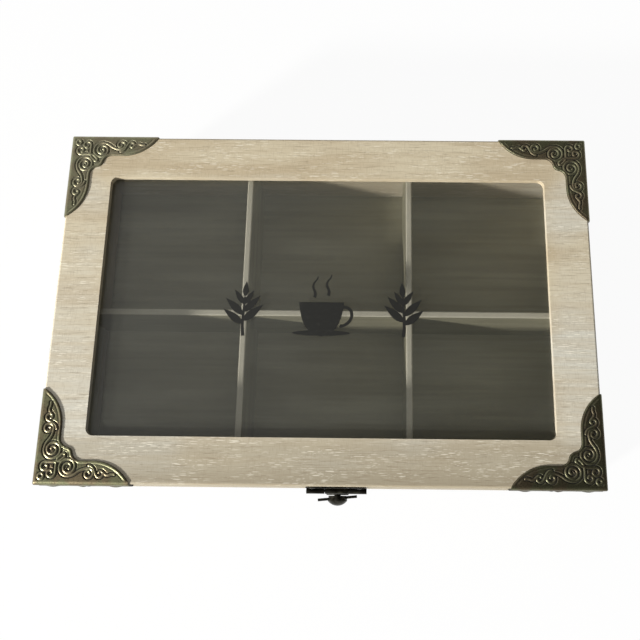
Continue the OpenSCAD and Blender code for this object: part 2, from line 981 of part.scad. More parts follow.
// The plate under the flap, with the boss that carries the turn button
module latch_base_plate() {
    color(dark_bronze)
        difference() {
            on_side(FRONT, latch_x, boss_z) {
                linear_extrude(latch_t)
                    rounded_rect(base_w, base_h, base_r);
                translate([0, 0, latch_t])
                    cylinder(r1 = boss_r1, r2 = boss_r2, h = boss_h);
            }
            on_side(FRONT, latch_x, boss_z) {
                translate([0, 0, -over])
                    cylinder(r = stem_r + pin_gap, h = boss_h + latch_t + 2 * over);
                translate([0, 0, -over])
                    cylinder(r = stem_r + rivet_out + button_gap, h = rivet_h + 2 * button_gap + over);
            }
            at_latch_base_nails()
                nail_hole();
        }
}

module latch_base_nails() {
    color(dark_bronze)
        at_latch_base_nails()
            nail(latch_t);
}

// The turn button: a riveted stem, a collar, two tilted wings and a domed head
module turn_button() {
    boss_end = latch_t + boss_h;
    dome_r = (head_r * head_r + head_dome_h * head_dome_h) / (2 * head_dome_h);
    head_base = head_out - head_dome_h;
    collar_base = boss_end + button_gap;
    color(dark_bronze)
        on_side(FRONT, latch_x, boss_z)
            union() {
                translate([0, 0, button_gap])
                    cylinder(r = stem_r + rivet_out, h = rivet_h);
                translate([0, 0, button_gap])
                    cylinder(r = stem_r, h = head_base);
                translate([0, 0, collar_base])
                    cylinder(r = collar_r, h = head_base - collar_base);
                translate([0, 0, wing_out])
                    rotate([0, wing_tilt, 0])
                        intersection() {
                            cube([wing_l, wing_h, wing_t], center = true);
                            cylinder(d = wing_l, h = 2 * wing_t, center = true);
                        }
                translate([0, 0, head_base - head_rim_h])
                    cylinder(r = head_r, h = head_rim_h);
                intersection() {
                    translate([0, 0, head_out - dome_r])
                        sphere(dome_r, $fn = 96);
                    translate([0, 0, head_base])
                        cylinder(r = head_r + over, h = head_dome_h + over);
                }
            }
}

bottom_panel();
front_wall();
back_wall();
left_wall();
right_wall();
long_divider();
cross_divider_left();
cross_divider_right();
latch_base_plate();
latch_base_nails();
hinge_left_lower_leaf();
hinge_right_lower_leaf();
hinge_left_pin();
hinge_right_pin();
hinge_nails_box();
lid_top_board();
lid_front_rail();
lid_back_rail();
lid_left_rail();
lid_right_rail();
glass_pane();
glazing_bead_front();
glazing_bead_back();
glazing_bead_left();
glazing_bead_right();
corner_front_left();
corner_front_right();
corner_back_left();
corner_back_right();
corner_nails();
hinge_left_upper_leaf();
hinge_right_upper_leaf();
hinge_nails_lid();
latch_top_plate();
latch_pin();
latch_top_nails();
hasp_flap();
turn_button();
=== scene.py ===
import math

import bpy
import numpy as np
from bpy.props import (
    FloatProperty, FloatVectorProperty, IntProperty, PointerProperty,
)
from mathutils import Matrix, Vector, geometry, kdtree


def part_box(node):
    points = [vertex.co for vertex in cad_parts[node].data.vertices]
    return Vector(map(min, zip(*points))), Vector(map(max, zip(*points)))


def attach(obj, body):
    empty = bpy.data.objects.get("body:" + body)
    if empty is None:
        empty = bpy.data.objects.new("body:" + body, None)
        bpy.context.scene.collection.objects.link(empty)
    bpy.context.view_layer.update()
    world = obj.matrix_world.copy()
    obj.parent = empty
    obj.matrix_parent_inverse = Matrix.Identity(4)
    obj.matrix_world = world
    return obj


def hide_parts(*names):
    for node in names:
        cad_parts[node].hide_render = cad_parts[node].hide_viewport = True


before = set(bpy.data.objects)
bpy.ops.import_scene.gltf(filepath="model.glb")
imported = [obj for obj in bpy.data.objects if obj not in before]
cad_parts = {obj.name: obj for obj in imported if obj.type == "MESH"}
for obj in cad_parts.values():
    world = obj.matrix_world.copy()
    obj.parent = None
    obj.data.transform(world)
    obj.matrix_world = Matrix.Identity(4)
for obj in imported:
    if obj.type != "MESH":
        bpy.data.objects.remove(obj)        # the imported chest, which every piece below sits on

bl_info = {
    "name": "Tea Chest",
    "version": (1, 0, 0),
    "blender": (4, 5, 0),
    "location": "View3D > Sidebar > Tea Chest",
    "description": "Dresses a wooden tea chest with a glazed lid and pressed bronze fittings",
    "category": "Object",
}

MM = 0.001

WOOD_ALONG_X = (
    "lid_top_board", "lid_front_rail", "lid_back_rail", "front_wall", "back_wall",
)
WOOD_ALONG_Y = ("lid_left_rail", "lid_right_rail", "left_wall", "right_wall")
INSIDE_ALONG_X = ("bottom_panel", "long_divider", "glazing_bead_front", "glazing_bead_back")
INSIDE_ALONG_Y = (
    "cross_divider_left", "cross_divider_right", "glazing_bead_left", "glazing_bead_right",
)
HINGE_NODES = (
    "hinge_left_lower_leaf", "hinge_right_lower_leaf", "hinge_left_upper_leaf",
    "hinge_right_upper_leaf", "hinge_left_pin", "hinge_right_pin",
)
LATCH_NODES = ("latch_base_plate", "latch_top_plate", "latch_pin", "hasp_flap", "turn_button")

# The lid's outer corner, and the glass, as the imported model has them
LID_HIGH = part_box("lid_top_board")[1]
PANE_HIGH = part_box("glass_pane")[1]


def tone(red, green, blue):
    """A colour written as it looks, 0 to 255, as the linear colour that a shader takes."""
    return tuple(
        c / 255 / 12.92 if c <= 10 else ((c / 255 + 0.055) / 1.055) ** 2.4
        for c in (red, green, blue)
    )


# Settings

def colour(name, description, default):
    return FloatVectorProperty(
        name=name, description=description, subtype="COLOR", size=3, min=0, max=1, default=default,
    )


def length(name, description, default):
    return FloatProperty(
        name=name, description=description, subtype="DISTANCE", unit="LENGTH", min=0,
        default=default, precision=5,
    )


def share(name, description, default):
    return FloatProperty(
        name=name, description=description, subtype="FACTOR", min=0, max=1, default=default,
    )


class WoodSettings(bpy.types.PropertyGroup):
    light: colour("Light wood", "The paler tone of the limed wood", tone(203, 192, 166))
    deep: colour("Deep wood", "The warmer tone between the pale bands", tone(187, 172, 144))
    # The weathered tone drifts at random over the boards; towards the front and the sides it is partly
    # painted shade
    grey: colour("Weathered wood", "The cool tone that drifts over the boards", tone(202, 199, 186))
    # The front tone is painted shade over the front of the lid, where less light falls
    front: colour("Front of the lid", "The duller wood where hands lift the lid", tone(154, 144, 123))
    lime: colour("Lime", "The white left in the pores", tone(240, 234, 217))
    pore: colour("Pores", "The dark of the open pores", tone(128, 111, 87))
    # The compartments' tones are darker than the lid's wood, partly as painted shade for the deep
    # compartments
    inside: colour("Inside", "The stained wood of the compartments", tone(160, 156, 131))
    inside_deep: colour("Inside, deep", "The darker grain of the compartments", tone(142, 137, 113))
    # The dividers' top edge tone is bare wood, paler than the lid's, partly a painted highlight where
    # light catches it
    bare_and_lit_top: colour("Sanded edge", "The bare top edges of the dividers", tone(226, 220, 199))
    lime_amount: share("Lime amount", "How much of the wood has lime in its pores", 0.55)


class MetalSettings(bpy.types.PropertyGroup):
    plain: colour("Bronze", "The flat of the pressed corners", tone(134, 133, 102))
    warm: colour("Bronze, warm", "The browner patches of the patina", tone(124, 112, 88))
    # The rubbed and tarnish tones also serve as painted light and painted shade across the corners,
    # and tarnish as the flanges' painted shade
    bright: colour("Rubbed bronze", "The raised lines, where hands polish them", tone(160, 156, 130))
    dark: colour("Tarnish", "The recesses between the lines", tone(22, 20, 13))
    steel: colour("Blackened bronze", "The hasp, the hinges and their nails", tone(58, 56, 49))
    rib_height: length("Line height", "How far the scroll lines stand up", 0.2 * MM)
    groove_depth: length("Groove depth", "How deep the sheet is pressed beside a line", 0.36 * MM)
    rib_width: length("Line width", "Width of a scroll line", 0.86 * MM)
    groove_width: length("Groove width", "Width of the recess beside a line", 0.74 * MM)
    mesh_step: length("Mesh step", "Distance between the points of the pressed sheet", 0.25 * MM)


class NailSettings(bpy.types.PropertyGroup):
    head_radius: length("Head radius", "Radius of a nail's head", 1.3 * MM)
    head_height: length("Head height", "How far a nail's head stands proud", 0.42 * MM)
    tilt: FloatProperty(
        name="Tilt", description="The most that a hand-driven nail leans", subtype="ANGLE",
        min=0, max=0.2, default=math.radians(3),
    )
    seed: IntProperty(name="Seed", description="Which way each nail leans", default=4, min=0)


class WindowSettings(bpy.types.PropertyGroup):
    # The pane's colour is its tint, and at its opacity partly a painted reflection haze
    pane: colour("Pane", "The tint of the acrylic pane", tone(98, 99, 90))
    opacity: share("Opacity", "How much the pane hides of what lies under it", 0.25)
    ink: colour("Ink", "The printed motifs", tone(30, 30, 27))
    ink_thickness: length("Ink thickness", "Thickness of the print", 0.06 * MM)
    motif_height: length("Motif height", "Height of the printed motifs", 28 * MM)
    motif_lift: length("Motif place", "How far in front of the middle the motifs lie", 0.8 * MM)


class StageSettings(bpy.types.PropertyGroup):
    floor: colour("Floor", "The pale floor", tone(232, 232, 230))
    key_power: FloatProperty(
        name="Key light", description="Power of the lamp on the left", unit="POWER",
        min=0, default=124.0,
    )
    fill_power: FloatProperty(
        name="Fill light", description="Power of the soft lamp overhead", unit="POWER",
        min=0, default=3.0,
    )
    sky: FloatProperty(
        name="Sky", description="Strength of the light from all round", min=0, default=0.46,
    )


class TeaChestSettings(bpy.types.PropertyGroup):
    wood: PointerProperty(type=WoodSettings)
    metal: PointerProperty(type=MetalSettings)
    nails: PointerProperty(type=NailSettings)
    window: PointerProperty(type=WindowSettings)
    stage: PointerProperty(type=StageSettings)


# Node trees and materials

class Value:
    """A node's output in an expression. Arithmetic on it adds Math nodes to its tree."""

    def __init__(self, net, socket):
        self.net = net
        self.socket = socket

    def _math(self, operation, first, second):
        return self.net.add("ShaderNodeMath", {"operation": operation}, {0: first, 1: second})

    def __add__(self, other):
        return self._math("ADD", self, other)

    __radd__ = __add__

    def __sub__(self, other):
        return self._math("SUBTRACT", self, other)

    def __rsub__(self, other):
        return self._math("SUBTRACT", other, self)

    def __mul__(self, other):
        return self._math("MULTIPLY", self, other)

    __rmul__ = __mul__

    def at_least(self, other):
        return self._math("MAXIMUM", self, other)


class Net:
    """A node tree. add() makes a node of a type: first its settings, then what its sockets get."""

    def __init__(self, tree):
        self.tree = tree
        tree.nodes.clear()

    def add(self, kind, settings=None, sockets=None, output=0):
        node = self.tree.nodes.new(kind)
        for name, value in (settings or {}).items():
            setattr(node, name, value)
        for key, value in (sockets or {}).items():
            if isinstance(value, Value):
                self.tree.links.new(value.socket, node.inputs[key])
            else:
                node.inputs[key].default_value = value
        return Value(self, node.outputs[output]) if len(node.outputs) else node


def rgba(value):
    return value if isinstance(value, Value) else (*value, 1.0)


def blend(net, amount, first, second):
    """Colour between first and second, by amount."""
    return net.add(
        "ShaderNodeMix", {"data_type": "RGBA", "blend_type": "MIX", "clamp_factor": True},
        {0: amount, 6: rgba(first), 7: rgba(second)}, output=2,
    )


def ease(net, value, low, high, to_low=0.0, to_high=1.0):
    """A smooth step of value: to_low at low, to_high at high."""
    return net.add(
        "ShaderNodeMapRange", {"interpolation_type": "SMOOTHSTEP", "clamp": True},
        {"Value": value, "From Min": low, "From Max": high, "To Min": to_low, "To Max": to_high},
    )


def object_place(net):
    return net.add("ShaderNodeTexCoord", output=3)


def on_axis(net, place, axis):
    return net.add("ShaderNodeSeparateXYZ", None, {0: place}, output="XYZ".index(axis))


def marks(net, place, size, seed=0.0, detail=2.0, roughness=0.5):
    """Noise whose marks are about size, in metres, along each axis."""
    stretched = net.add(
        "ShaderNodeVectorMath", {"operation": "MULTIPLY_ADD"},
        {0: place, 1: tuple(1 / s for s in size), 2: (seed, 1.7 * seed + 3.1, 7.3 - seed)},
    )
    return net.add(
        "ShaderNodeTexNoise", {"noise_dimensions": "3D"},
        {"Vector": stretched, "Scale": 1.0, "Detail": detail, "Roughness": roughness},
    )


def grains(net, place, size, seed=0.0):
    """Distance from the middles of scattered grains of about size: 0 in a grain's middle."""
    stretched = net.add(
        "ShaderNodeVectorMath", {"operation": "MULTIPLY_ADD"},
        {0: place, 1: tuple(1 / s for s in size), 2: (seed, 2.3 * seed, 5.1 - seed)},
    )
    return net.add("ShaderNodeTexVoronoi", {"feature": "F1"}, {"Vector": stretched, "Scale": 1.0})


def drawn_out(along, long, wide):
    """Size of a mark that follows the grain along X or Y, from millimetres."""
    size = [wide * MM] * 3
    size["XYZ".index(along)] = long * MM
    return size


def bump(net, height, depth, strength=1.0):
    return net.add("ShaderNodeBump", None, {"Strength": strength, "Distance": depth, "Height": height})


def new_material(name, fill):
    """A node material. fill adds its nodes and gives the values and links of its Principled shader."""
    material = bpy.data.materials.new(name)
    material.use_nodes = True
    net = Net(material.node_tree)
    shader = net.add("ShaderNodeBsdfPrincipled", None, fill(net))
    net.add("ShaderNodeOutputMaterial", None, {"Surface": shader})
    return material


# Where the wood's tone changes, and where its painted shade falls, as places in the frame
COOL_BACK, COOL_FRONT = 45 * MM, -40 * MM
COOL_MIDDLE, COOL_SIDES = 96 * MM, 108 * MM
# The painted shade over the front of the lid: where it starts and is full from back to front, where it
# grows from left to right, and how much its edge wavers
FRONT_SHADE_BACK, FRONT_SHADE_FRONT = -54 * MM, -66 * MM
FRONT_SHADE_LEFT, FRONT_SHADE_RIGHT = -95 * MM, 20 * MM
FRONT_SHADE_WAVER = 6 * MM
# A deeper painted shade along the lid's front edge
EDGE_SHADE_BACK, EDGE_SHADE_FRONT = -68 * MM, -79 * MM
WIPED_FRONT, WIPED_BACK = -79.4 * MM, -76 * MM


def limed_wood(name, along, wood):
    """Pale open-pored wood, washed with lime that stays in the pores in dashes."""
    def fill(net):
        place = object_place(net)
        across = "Y" if along == "X" else "X"
        drift = marks(net, place, drawn_out(along, 90, 16), 1.3)
        cool = marks(net, place, drawn_out(along, 55, 34), 5.9, 1.0)
        bands = marks(net, place, drawn_out(along, 70, 2.6), 2.2, 3.0)
        fibre = marks(net, place, drawn_out(along, 16, 0.5), 8.4, 2.0, 0.6)
        pores = marks(net, place, drawn_out(along, 6.5, 0.42), 3.7, 1.0)
        dashes = grains(net, place, drawn_out(along, 6.0, 0.72), 6.1)
        specks = grains(net, place, drawn_out(along, 2.4, 0.5), 9.6)
        patches = marks(net, place, drawn_out(along, 26, 6), 4.4, 2.0)
        checks = marks(net, place, drawn_out(across, 3.2, 0.55), 7.2, 1.0)

        # The boards turn from a warm tone at the back to a cool one in front and at the sides, partly
        # painted shade where less light falls
        depth = on_axis(net, place, "Y")
        side = on_axis(net, place, "X")
        cooler_and_shaded = ease(net, depth, COOL_BACK, COOL_FRONT, -0.35, 0.35)
        cooler_and_shaded = cooler_and_shaded + ease(net, side * side, COOL_MIDDLE ** 2, COOL_SIDES ** 2, 0.0, 0.4)
        colour = blend(net, ease(net, drift, 0.38, 0.62), wood.light, wood.deep)
        colour = blend(net, ease(net, cool, 0.42, 0.66, 0.0, 0.7) + cooler_and_shaded, colour, wood.grey)
        colour = blend(net, ease(net, bands, 0.40, 0.66, 0.0, 0.36), colour, wood.deep)
        colour = blend(net, ease(net, bands, 0.30, 0.46, 0.35, 0.0), colour, wood.light)
        # Painted shade darkens the front of the lid, more towards the right and most at the front edge
        painted_front_shade = ease(net, depth + FRONT_SHADE_WAVER * (patches - 0.5), FRONT_SHADE_BACK, FRONT_SHADE_FRONT)
        painted_front_shade = painted_front_shade * ease(net, side, FRONT_SHADE_LEFT, FRONT_SHADE_RIGHT, 0.55, 0.68)
        painted_edge_shade = ease(net, depth, EDGE_SHADE_BACK, EDGE_SHADE_FRONT, 0.0, 0.3)
        colour = blend(net, painted_front_shade + painted_edge_shade, colour, wood.front)
        colour = blend(net, ease(net, fibre, 0.50, 0.74, 0.0, 0.34), colour, wood.pore)
        colour = blend(net, ease(net, checks, 0.50, 0.72, 0.0, 0.14), colour, wood.pore)
        open_pore = ease(net, pores, 0.62, 0.72)
        colour = blend(net, open_pore * 0.3, colour, wood.pore)
        reach = 0.16 + 0.3 * wood.lime_amount
        gathered = ease(net, patches, 0.36, 0.66)
        ragged = fibre * 0.3
        limed = ease(net, dashes + ragged, reach + 0.15, reach) * gathered
        small = ease(net, specks + ragged, reach + 0.1, reach) * gathered * 0.6
        # Less lime stays on the upright front, which is wiped more often
        limed = limed.at_least(small) * ease(net, depth, WIPED_FRONT, WIPED_BACK, 0.5, 1.0)
        colour = blend(net, limed * 0.6, colour, wood.lime)

        height = bands * 0.35 + fibre * 0.35 - open_pore * 0.5 + limed * 0.35
        return {
            "Base Color": colour,
            "Roughness": 0.52 + fibre * 0.22 + limed * 0.08,
            "Normal": bump(net, height, 0.16 * MM, 0.5),
            "Specular IOR Level": 0.3,
        }
    return new_material(name, fill)


def inside_wood(name, along, wood):
    """Darker wood, partly painted shade for the deep compartments. Its top edges are pale bare wood,
    partly a painted highlight.
    """
    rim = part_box("long_divider")[1].z

    def fill(net):
        place = object_place(net)
        bands = marks(net, place, drawn_out(along, 80, 3.4), 1.9, 3.0)
        fibre = marks(net, place, drawn_out(along, 14, 0.55), 7.7, 2.0, 0.6)
        drift = marks(net, place, drawn_out(along, 60, 25), 3.3, 1.0)
        colour = blend(net, ease(net, bands, 0.36, 0.66), wood.inside, wood.inside_deep)
        colour = blend(net, ease(net, drift, 0.4, 0.65, 0.0, 0.5), colour, wood.inside_deep)
        colour = blend(net, ease(net, fibre, 0.55, 0.75, 0.0, 0.5), colour, wood.inside_deep)
        height = on_axis(net, place, "Z")
        # The top edges are painted paler: bare wood, and partly a highlight where the light catches
        # them
        rubbed = ease(net, height + fibre * (0.6 * MM), rim - 0.4 * MM, rim + 0.1 * MM)
        colour = blend(net, rubbed * 0.9, colour, wood.bare_and_lit_top)
        return {
            "Base Color": colour,
            "Roughness": 0.6 + fibre * 0.2,
            "Normal": bump(net, bands * 0.4 + fibre * 0.6, 0.15 * MM, 0.5),
            "Specular IOR Level": 0.3,
        }
    return new_material(name, fill)


# Relief lower than this, in millimetres, counts as flat
FLAT = 0.03
# How far right of and in front of the middle the painted shade on the corners starts, and where it is
# full; as far back and to the left, painted light comes in instead
REFLECTION_SHADE_FROM, REFLECTION_SHADE_FULL = 60 * MM, 200 * MM


def pressed_bronze(name, metal):
    """Patinated bronze. The sheet's relief attribute darkens recesses and polishes raised lines, and
    carries the flanges' painted shade.
    """
    def fill(net):
        place = object_place(net)
        relief = net.add("ShaderNodeAttribute", {"attribute_name": "relief"}, output=2)
        cloud = marks(net, place, [7 * MM] * 3, 2.0, 3.0)
        speck = marks(net, place, [0.55 * MM] * 3, 5.0, 2.0, 0.6)
        low = -metal.groove_depth / MM
        high = metal.rib_height / MM
        colour = blend(net, ease(net, cloud, 0.40, 0.60), metal.plain, metal.warm)
        colour = blend(net, ease(net, speck, 0.48, 0.72, 0.0, 0.5), colour, metal.dark)
        raised = ease(net, relief, FLAT, high)
        colour = blend(net, raised * ease(net, speck, 0.3, 0.7, 0.6, 0.25), colour, metal.bright)
        sunk = ease(net, relief, -FLAT, 0.6 * low)
        colour = blend(net, sunk, colour, metal.dark)
        # Painted shade darkens the front right corner, and painted light brightens the back left one,
        # for the dark and the bright that their metal reflects
        across = on_axis(net, place, "X") - on_axis(net, place, "Y")
        painted_dark_side = ease(net, across, REFLECTION_SHADE_FROM, REFLECTION_SHADE_FULL, 0.0, 0.5)
        thin = ease(net, across, -REFLECTION_SHADE_FROM, -REFLECTION_SHADE_FULL, 0.0, 0.35)
        colour = blend(net, thin, blend(net, painted_dark_side, colour, metal.dark), metal.bright)
        return {
            "Base Color": colour,
            "Metallic": 0.92 - sunk * 0.7,
            "Roughness": 0.34 - raised * 0.04 + sunk * 0.4 + ease(net, cloud, 0.4, 0.7, 0.0, 0.1),
            "Normal": bump(net, speck, 0.05 * MM, 0.6),
        }
    return new_material(name, fill)


def blackened_bronze(name, metal):
    """The darker fittings: a thin tarnish, rubbed through here and there."""
    def fill(net):
        place = object_place(net)
        cloud = marks(net, place, [3.2 * MM] * 3, 1.0, 3.0)
        speck = marks(net, place, [0.4 * MM] * 3, 9.0, 2.0, 0.6)
        scratch = marks(net, place, (5 * MM, 0.35 * MM, 0.35 * MM), 4.0, 2.0)
        colour = blend(net, ease(net, cloud, 0.35, 0.65), metal.steel, metal.dark)
        colour = blend(net, ease(net, scratch, 0.62, 0.74, 0.0, 0.35), colour, metal.plain)
        colour = blend(net, ease(net, speck, 0.55, 0.75, 0.0, 0.5), colour, metal.dark)
        return {
            "Base Color": colour,
            "Metallic": 0.92,
            "Roughness": 0.2 + cloud * 0.16 + speck * 0.1,
            "Normal": bump(net, speck * 0.6 + cloud * 0.4, 0.04 * MM, 0.5),
        }
    return new_material(name, fill)


DUST = (0.35, 0.35, 0.33)
PANE_IOR = 2.1
THIN_INK = tone(58, 57, 52)


def acrylic_pane(name, window):
    """A thin tinted pane with a little dust and faint wipe marks. Its grey colour is partly a painted
    reflection haze over what lies under it.
    """
    def fill(net):
        place = object_place(net)
        wiped = marks(net, place, (60 * MM, 14 * MM, 14 * MM), 2.0, 3.0)
        dust = marks(net, place, [1.2 * MM] * 3, 6.0, 2.0, 0.7)
        clear = tuple(0.7 * c for c in window.pane)
        colour = blend(net, ease(net, wiped, 0.35, 0.7), clear, window.pane)
        colour = blend(net, ease(net, dust, 0.6, 0.8, 0.0, 0.35), colour, DUST)
        return {
            "Base Color": colour,
            "Roughness": 0.06 + ease(net, wiped, 0.4, 0.7, 0.0, 0.07),
            "Alpha": window.opacity,
            "IOR": PANE_IOR,
        }
    return new_material(name, fill)


def printed_ink(name, window):
    """Screen-printed ink, a little thin in places."""
    def fill(net):
        place = object_place(net)
        thin = marks(net, place, [1.6 * MM] * 3, 3.0, 3.0, 0.6)
        colour = blend(net, ease(net, thin, 0.55, 0.8, 0.0, 0.4), window.ink, THIN_INK)
        return {
            "Base Color": colour,
            "Roughness": 0.34 + thin * 0.2,
            "Normal": bump(net, thin, 0.02 * MM, 0.5),
        }
    return new_material(name, fill)


# Meshes

def dress(nodes, material):
    """Gives CAD nodes a material."""
    for name in nodes:
        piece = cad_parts[name]
        piece.data.materials.clear()
        piece.data.materials.append(material)


def make_piece(name, points, faces, material, smooth_angle=None):
    """A mesh object at the origin. points are in metres, and faces list them."""
    mesh = bpy.data.meshes.new(name)
    mesh.from_pydata([tuple(p) for p in points], [], faces)
    mesh.materials.append(material)
    if smooth_angle is not None:
        mesh.polygons.foreach_set("use_smooth", [True] * len(mesh.polygons))
        mesh.set_sharp_from_angle(angle=smooth_angle)
    mesh.update()
    piece = bpy.data.objects.new(name, mesh)
    bpy.context.scene.collection.objects.link(piece)
    return piece


def closed_shell(triangles, count):
    """Faces of a closed shell between an outer skin, points 0 to count - 1, and an inner one."""
    triangles = np.asarray(triangles)
    edges = np.vstack([triangles[:, [0, 1]], triangles[:, [1, 2]], triangles[:, [2, 0]]])
    known = set(map(tuple, edges.tolist()))
    rim = [(a, b) for a, b in known if (b, a) not in known]
    inner = triangles[:, ::-1] + count
    walls = [(b, a, a + count, b + count) for a, b in sorted(rim)]
    return triangles.tolist() + inner.tolist() + walls


def fill_outlines(outlines, inside=()):
    """Triangles that fill closed outlines, with more points inside them: (points, triangles)."""
    points, loops = [], []
    for outline in outlines:
        x, y = np.asarray(outline, float).T
        if np.dot(x, np.roll(y, -1)) < np.dot(y, np.roll(x, -1)):
            outline = outline[::-1]
        loops.append(list(range(len(points), len(points) + len(outline))))
        points.extend(outline)
    points.extend(inside)
    made, _, faces, _, _, origin = geometry.delaunay_2d_cdt(
        [Vector((float(x), float(y))) for x, y in points], [], loops, 1, 1e-6, True,
    )
    flat = np.array([(p.x, p.y) for p in made])
    kept = []
    for face, sources in zip(faces, origin):
        if not sources:
            continue
        a, b, c = face
        turn = (flat[b][0] - flat[a][0]) * (flat[c][1] - flat[a][1]) \
            - (flat[b][1] - flat[a][1]) * (flat[c][0] - flat[a][0])
        kept.append((a, b, c) if turn > 0 else (a, c, b))
    return flat, kept


def arcs(start, heading, parts, step=0.12):
    """Points along a chain of arcs: parts are (radius, degrees), and plus turns left."""
    x, y = start
    angle = math.radians(heading)
    points = [(x, y)]
    for radius, degrees in parts:
        side = 1 if degrees > 0 else -1
        turn = math.radians(degrees)
        middle = (x - side * radius * math.sin(angle), y + side * radius * math.cos(angle))
        count = max(2, math.ceil(abs(turn) * radius / step))
        for i in range(1, count + 1):
            at = angle + turn * i / count
            points.append((
                middle[0] + side * radius * math.sin(at),
                middle[1] - side * radius * math.cos(at),
            ))
        angle += turn
        x, y = points[-1]
    return points


def even_steps(points, step):
    """Points at even steps along a line of points, both ends kept."""
    points = np.asarray(points, float)
    run = np.concatenate([[0], np.cumsum(np.linalg.norm(np.diff(points, axis=0), axis=1))])
    wanted = np.linspace(0, run[-1], max(2, round(run[-1] / step) + 1))
    return np.stack([np.interp(wanted, run, points[:, i]) for i in range(2)], axis=1)


def nearest(samples, points):
    """Distance from each point to the nearest of the samples."""
    tree = kdtree.KDTree(len(samples))
    for i, (x, y) in enumerate(samples):
        tree.insert((x, y, 0), i)
    tree.balance()
    return np.array([tree.find((x, y, 0))[2] for x, y in points])


def within(outline, points):
    """Which points lie inside a closed outline."""
    inside = np.zeros(len(points), bool)
    x, y = points[:, 0], points[:, 1]
    outline = np.asarray(outline)
    for (x1, y1), (x2, y2) in zip(outline, np.roll(outline, -1, axis=0)):
        if y1 != y2:
            crosses = ((y1 > y) != (y2 > y)) & (x < (x2 - x1) * (y - y1) / (y2 - y1) + x1)
            inside ^= crosses
    return inside


# The pressed corners, in millimetres from the lid's corner

EDGE_R = 1.0
SHEET_T = 0.7
LEG = 40.0
LEG_W = 9.5
SHOULDER = 24.0
TIP_W = 0.4
LOBE_AT = 12.2
LOBE_R = 3.0
FILLET_R = 4.0
FLANGE_H = 9.0
SCALLOP = 2.0
NAIL_AT = 22.0
OUTER_R = EDGE_R + SHEET_T
SEAT_GAP = 0.03
UPRIGHT_R = 0.7
ROLL_ANGLES = (0, 11, 22, 34, 45, 56, 68, 79, 90)
FLANGE_ROWS = 22

# The plate's relief: a rim that follows the inner outline, and how it fades towards the fold
RIM_AT = 0.66
RIM_HALF = 0.42
RIM_END = 1.08
EDGE_ROLL = 0.35
EDGE_DROP = 0.28
FOLD_FADE = 0.8

# The flanges' relief: a rim along the scallops, a dished seat for the nail, and a boss in each
FLANGE_RIM_H = 0.17
FLANGE_RIM_AT = 0.75
FLANGE_RIM_HALF = 0.6
NAIL_SEAT_H = 0.14
NAIL_SEAT_R = 2.6
BOSS_DOWN = 4.2
BOSS_H = 0.6
BOSS_ALONG = 4.4
BOSS_ACROSS = 3.2
BORDER_DROP = 0.25
LOWER_EASE = 0.3
END_EASE = 0.35
# How much darker, as relief, the flanges are than the plate: painted shade for the dark that they
# reflect
FLANGE_PAINTED_SHADE = 0.14

# The mesh: rise of the lattice's rows, their gap to the border, and the columns down the flanges
LATTICE_RISE = 0.87
BORDER_GAP = 0.6
COLUMN_STEP = 1.3
COLUMN_CROWD = 1.25

# One arm's scrolls, each a chain of arcs: its start, its heading, and radii with angles
SCROLLS = (
    ((14.0, 3.1), 180, ((3.6, -90), (3.4, -90), (3.1, -90), (2.6, -90), (2.2, -90), (1.8, -90),
                        (1.35, -90), (0.9, -80))),
    ((14.0, 3.1), 0, ((6, 40), (7.8, -40), (2.05, -90), (1.85, -90), (1.6, -90), (1.2, -90),
                      (0.75, -90))),
    ((22.8, 7.5), -8, ((3.0, -58), (30, 5), (1.5, 152), (1.1, 90), (0.7, 80))),
    ((29.4, 4.5), -58, ((2.0, 50), (1.9, 35), (2.6, -45))),
    ((8.9, 8.7), -93, ((40, 6), (1.8, -93), (1.6, -90), (1.25, -90), (0.8, -90))),
    ((9.2, 9.2), 0, ((2.6, 45), (60, 1.5), (0.76, 90))),
)
# The ring in the corner itself
CORNER_RING = ((4.05, 3.0), 90, ((1.1, 360),))


def corner_inner_outline(step):
    """The plate's inner outline, from the tip of one leg to the other, at even steps."""
    run, drop = LEG - SHOULDER, LEG_W - TIP_W
    sweep_r = (run * run + drop * drop) / (2 * drop)
    middle = LEG_W - sweep_r
    end = SHOULDER + math.sqrt(sweep_r ** 2 - (EDGE_R - middle) ** 2)
    leg = [(u, middle + math.sqrt(sweep_r ** 2 - (u - SHOULDER) ** 2))
           for u in np.linspace(end, SHOULDER, 90)]
    fillet_y = LEG_W + FILLET_R
    fillet_x = LOBE_AT + math.sqrt((LOBE_R + FILLET_R) ** 2 - (fillet_y - LOBE_AT) ** 2)
    back = math.atan2(LOBE_AT - fillet_y, LOBE_AT - fillet_x)
    fillet = [(fillet_x + FILLET_R * math.cos(t), fillet_y + FILLET_R * math.sin(t))
              for t in np.linspace(-math.pi / 2, back, 40)]
    first = math.atan2(fillet_y - LOBE_AT, fillet_x - LOBE_AT)
    lobe = [(LOBE_AT + LOBE_R * math.cos(t), LOBE_AT + LOBE_R * math.sin(t))
            for t in np.linspace(first, math.pi / 2 - first, 40)]
    arm = leg + fillet
    return even_steps(arm + lobe[1:-1] + [(v, u) for u, v in reversed(arm)], step)


def raised_cosine(x):
    """A bump that is 1 at 0, and 0 from -1 down and from 1 up."""
    return 0.5 + 0.5 * np.cos(np.pi * np.clip(x, -1, 1))


def ease_in(x):
    """A smooth step from 0 at 0 to 1 at 1."""
    x = np.clip(x, 0, 1)
    return x * x * (3 - 2 * x)


